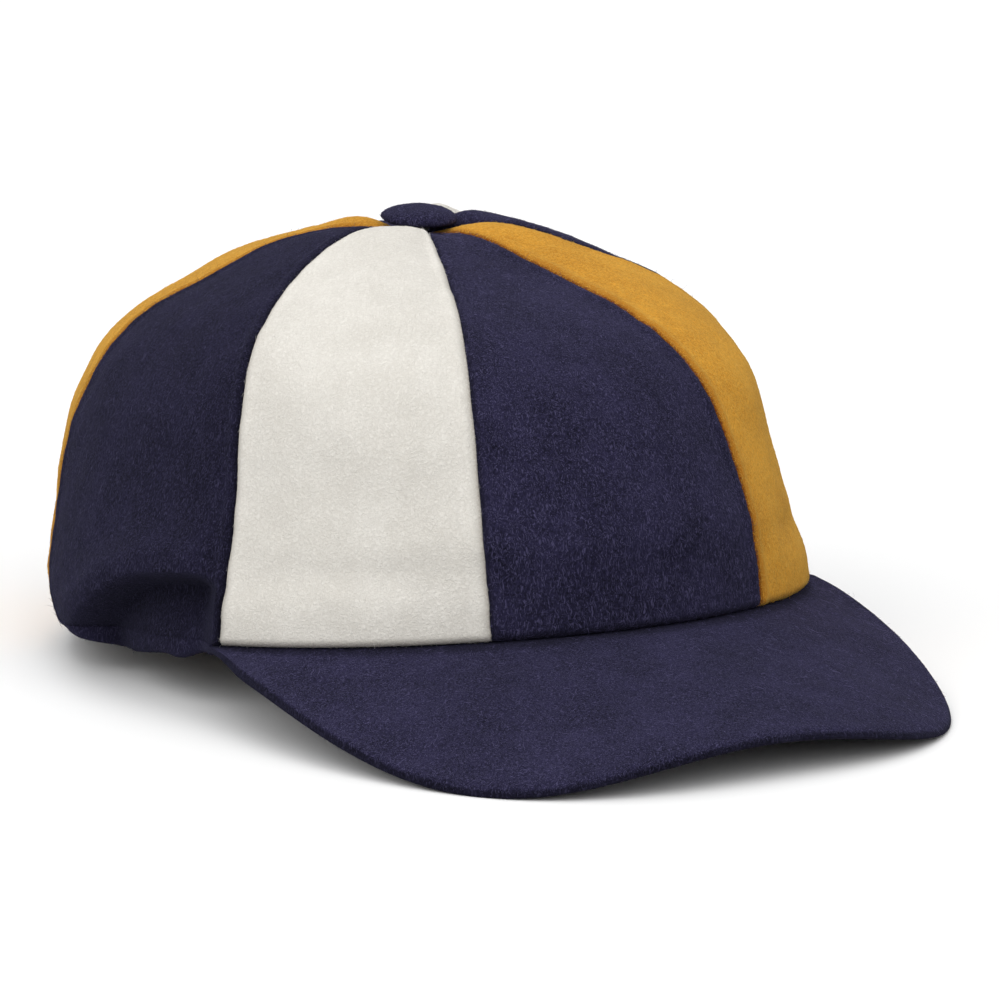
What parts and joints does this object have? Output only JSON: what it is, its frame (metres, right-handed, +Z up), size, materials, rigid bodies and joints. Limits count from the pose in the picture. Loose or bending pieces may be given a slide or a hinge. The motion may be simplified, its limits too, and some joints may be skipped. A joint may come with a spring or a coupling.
{
  "type": "cricket cap",
  "caption": "Rounded wool cap of coloured panels with a short stiff peak, a covered button on top and a gathered back edge.",
  "frame": {"origin": "middle of the bounding box on the surface that the cap rests on", "axes": "+Z up, -Y toward the front of the cap, -X toward the wearer's right"},
  "size_m": [0.179, 0.2506, 0.1088],
  "materials": {
    "navy_wool": "matte milled wool, navy",
    "cream_wool": "matte milled wool, cream",
    "gold_wool": "matte milled wool, gold"
  },
  "bodies": {
    "root": {"panel_front": "navy_wool", "panel_front_right": "cream_wool", "panel_right": "navy_wool", "panel_back_right": "gold_wool", "panel_back": "navy_wool", "panel_back_left": "cream_wool", "panel_left": "navy_wool", "panel_front_left": "gold_wool", "button": "navy_wool", "peak": "navy_wool", "back_casing": "navy_wool"}
  },
  "joints": []
}
